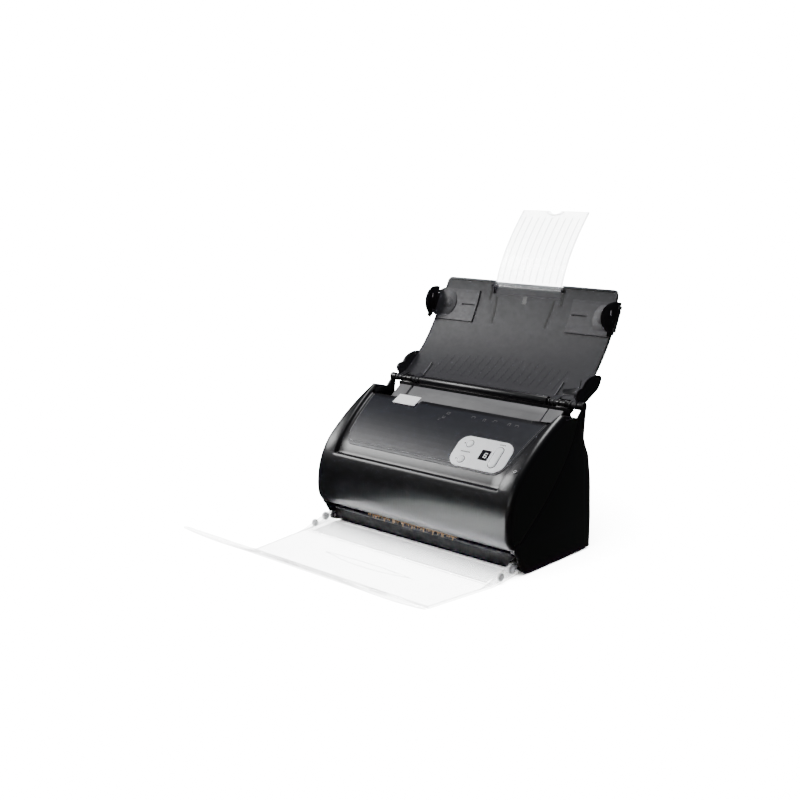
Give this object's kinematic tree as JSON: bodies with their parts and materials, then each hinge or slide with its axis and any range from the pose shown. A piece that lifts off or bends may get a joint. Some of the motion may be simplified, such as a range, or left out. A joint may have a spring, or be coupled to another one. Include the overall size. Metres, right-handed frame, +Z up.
{
  "type": "sheet fed document scanner",
  "caption": "Desktop sheet fed document scanner with an opening front cover, folding input chute with paper guides, and clear folding output tray.",
  "frame": {"origin": "centre of the whole object at desk level, with both trays open", "axes": "+X to the right seen from the front, -Y towards the front, +Z up"},
  "size_m": [0.3186, 0.5476, 0.412],
  "materials": {
    "black_gloss": "satin black moulded plastic",
    "panel_blue_black": "smooth blue black plastic",
    "charcoal": "fine grained charcoal plastic",
    "guide_grey": "fine grained dark grey plastic",
    "ramp_grey": "mid grey plastic",
    "silver_plastic": "silver painted plastic",
    "white_plastic": "near white plastic",
    "display": "black display window",
    "clear_tray": "clear moulded plastic",
    "clear_extension": "clear ribbed plastic",
    "scan_glass": "scan glass",
    "rubber": "black rubber",
    "roller_rubber": "blue grey roller rubber",
    "pad_rubber": "brown friction rubber",
    "steel": "plated steel",
    "nylon": "natural nylon",
    "brass_metal": "brass",
    "board_green": "circuit board",
    "sensor_body": "sensor housing",
    "brush_fibre": "conductive bristles",
    "motor_metal": "motor can",
    "connector_metal": "plated connector shell"
  },
  "bodies": {
    "base": {"left_side_panel": "black_gloss", "right_side_panel": "black_gloss", "rear_cover": "black_gloss", "bottom_plate": "charcoal", "exit_sill": "charcoal", "rear_paper_guide": "guide_grey", "entry_ramp": "ramp_grey", "rear_scan_glass": "scan_glass", "rear_image_sensor": "sensor_body", "side_frames": "steel", "stepper_motor": "motor_metal", "main_board": "board_green", "dc_jack": "charcoal", "usb_port": "connector_metal", "switch_housing": "charcoal", "rubber_feet": "rubber", "housing_screws": "steel", "hinge_brackets": "black_gloss", "chute_hinge_pins": "steel", "cover_pivot_pins": "steel", "tray_hinge_pins": "steel"},
    "rocker": {"power_switch": "black_gloss"},
    "pick": {"pick_roller": "roller_rubber", "pick_shaft": "nylon"},
    "feed": {"feed_roller": "roller_rubber", "feed_shaft": "nylon"},
    "exit": {"exit_roller": "roller_rubber", "exit_shaft": "nylon"},
    "idler": {"idler_gear": "nylon"},
    "small_idler": {"small_idler_gear": "nylon"},
    "pinion": {"motor_pinion": "brass_metal"},
    "cover": {"front_cover_shell": "black_gloss", "top_panel": "panel_blue_black", "control_plate": "silver_plastic", "display_window": "display", "control_board": "board_green", "inner_paper_guide": "guide_grey", "front_scan_glass": "scan_glass", "front_image_sensor": "sensor_body", "separation_pad": "pad_rubber", "static_brush": "brush_fibre", "status_light": "silver_plastic"},
    "feed_pinch": {"feed_pinch_rollers": "nylon"},
    "exit_pinch": {"exit_pinch_rollers": "nylon"},
    "latch": {"release_tab": "white_plastic", "latch_shaft": "steel"},
    "up_key": {"up_button": "silver_plastic"},
    "down_key": {"down_button": "silver_plastic"},
    "scan_key": {"scan_button": "silver_plastic"},
    "chute": {"chute_panel": "charcoal", "rack_cover": "charcoal"},
    "guide_left": {"left_guide": "guide_grey"},
    "guide_right": {"right_guide": "guide_grey"},
    "wing_left": {"left_guide_wing": "black_gloss"},
    "wing_right": {"right_guide_wing": "black_gloss"},
    "rack_pinion": {"guide_pinion": "nylon"},
    "chute_flap": {"chute_extension": "clear_extension"},
    "tray": {"output_tray": "clear_tray"},
    "tray_flap": {"tray_extension": "clear_tray"}
  },
  "joints": [
    {"name": "cover_open", "type": "hinge", "parent": "base", "child": "cover", "pos_m": [0, -0.015, 0.036], "axis": [1, 0, 0], "range_deg": [0, 60]},
    {"name": "chute_fold", "type": "hinge", "parent": "base", "child": "chute", "pos_m": [0, 0.116, 0.185], "axis": [-1, 0, 0], "range_deg": [-150, 0]},
    {"name": "wing_right_fold", "type": "hinge", "parent": "guide_right", "child": "wing_right", "pos_m": [0.1495, 0.19658, 0.28384], "axis": [0, 0.4081, 0.9129], "range_deg": [-50, 0]},
    {"name": "wing_left_fold", "type": "hinge", "parent": "guide_left", "child": "wing_left", "pos_m": [-0.1495, 0.19658, 0.28384], "axis": [0, 0.4081, 0.9129], "range_deg": [0, 90]},
    {"name": "guide_right_slide", "type": "slide", "parent": "chute", "child": "guide_right", "axis": [-1, 0, 0], "range_m": [0, 0.054]},
    {"name": "guide_left_slide", "type": "slide", "parent": "chute", "child": "guide_left", "axis": [1, 0, 0], "range_m": [0, 0.054]},
    {"name": "guide_pinion_spin", "type": "hinge", "parent": "chute", "child": "rack_pinion", "pos_m": [0, 0.19478, 0.25958], "axis": [0, -0.8751, 0.4839], "range_deg": [-625, 0]},
    {"name": "chute_extension_fold", "type": "hinge", "parent": "chute", "child": "chute_flap", "pos_m": [0, 0.21161, 0.31162], "axis": [-1, 0, 0], "range_deg": [-178, 0]},
    {"name": "tray_fold", "type": "hinge", "parent": "base", "child": "tray", "pos_m": [0, -0.012, 0.014], "axis": [1, 0, 0], "range_deg": [-56, 0]},
    {"name": "tray_extension_fold", "type": "hinge", "parent": "tray", "child": "tray_flap", "pos_m": [0, -0.158, 0.0033], "axis": [1, 0, 0], "range_deg": [-150, 0]},
    {"name": "release_tab_lift", "type": "hinge", "parent": "cover", "child": "latch", "pos_m": [0, 0.059, 0.158], "axis": [-1, 0, 0], "range_deg": [0, 9], "stiffness_Nm_per_rad": 0.25},
    {"name": "up_button_press", "type": "slide", "parent": "cover", "child": "up_key", "axis": [0, 0.6626, -0.749], "range_m": [0, 0.001], "stiffness_N_per_m": 400},
    {"name": "down_button_press", "type": "slide", "parent": "cover", "child": "down_key", "axis": [0, 0.6626, -0.749], "range_m": [0, 0.001], "stiffness_N_per_m": 400},
    {"name": "scan_button_press", "type": "slide", "parent": "cover", "child": "scan_key", "axis": [0, 0.6626, -0.749], "range_m": [0, 0.001], "stiffness_N_per_m": 500},
    {"name": "power_switch_rock", "type": "hinge", "parent": "base", "child": "rocker", "pos_m": [0.138, 0.132, 0.03], "axis": [1, 0, 0], "range_deg": [-8, 8]},
    {"name": "feed_roller_spin", "type": "hinge", "parent": "base", "child": "feed", "pos_m": [0, 0.05148, 0.10587], "axis": [1, 0, 0], "continuous": true},
    {"name": "pick_roller_spin", "type": "hinge", "parent": "base", "child": "pick", "pos_m": [0, 0.07315, 0.13462], "axis": [1, 0, 0], "continuous": true},
    {"name": "exit_roller_spin", "type": "hinge", "parent": "base", "child": "exit", "pos_m": [0, 0.01899, 0.06274], "axis": [1, 0, 0], "continuous": true},
    {"name": "idler_gear_spin", "type": "hinge", "parent": "base", "child": "idler", "pos_m": [0, 0.03524, 0.0843], "axis": [1, 0, 0], "continuous": true},
    {"name": "small_idler_spin", "type": "hinge", "parent": "base", "child": "small_idler", "pos_m": [0, 0.06232, 0.12024], "axis": [1, 0, 0], "continuous": true},
    {"name": "motor_pinion_spin", "type": "hinge", "parent": "base", "child": "pinion", "pos_m": [0, 0.0536, 0.07046], "axis": [1, 0, 0], "continuous": true},
    {"name": "feed_pinch_spin", "type": "hinge", "parent": "cover", "child": "feed_pinch", "pos_m": [0, 0.04006, 0.11447], "axis": [1, 0, 0], "continuous": true},
    {"name": "exit_pinch_spin", "type": "hinge", "parent": "cover", "child": "exit_pinch", "pos_m": [0, 0.00756, 0.07134], "axis": [1, 0, 0], "continuous": true}
  ],
  "couplings": [
    {"joint": "wing_right_fold", "follows": "chute_fold", "ratio": 0.33333},
    {"joint": "wing_left_fold", "follows": "chute_fold", "ratio": -0.6},
    {"joint": "guide_left_slide", "follows": "guide_right_slide", "ratio": 1},
    {"joint": "guide_pinion_spin", "follows": "guide_right_slide", "rad_per_m": -200},
    {"joint": "pick_roller_spin", "follows": "feed_roller_spin", "ratio": 1},
    {"joint": "exit_roller_spin", "follows": "feed_roller_spin", "ratio": 1},
    {"joint": "idler_gear_spin", "follows": "feed_roller_spin", "ratio": -0.58823},
    {"joint": "small_idler_spin", "follows": "feed_roller_spin", "ratio": -1.25},
    {"joint": "motor_pinion_spin", "follows": "feed_roller_spin", "ratio": 1.6667},
    {"joint": "feed_pinch_spin", "follows": "feed_roller_spin", "ratio": -1.8},
    {"joint": "exit_pinch_spin", "follows": "feed_roller_spin", "ratio": -1.8}
  ]
}
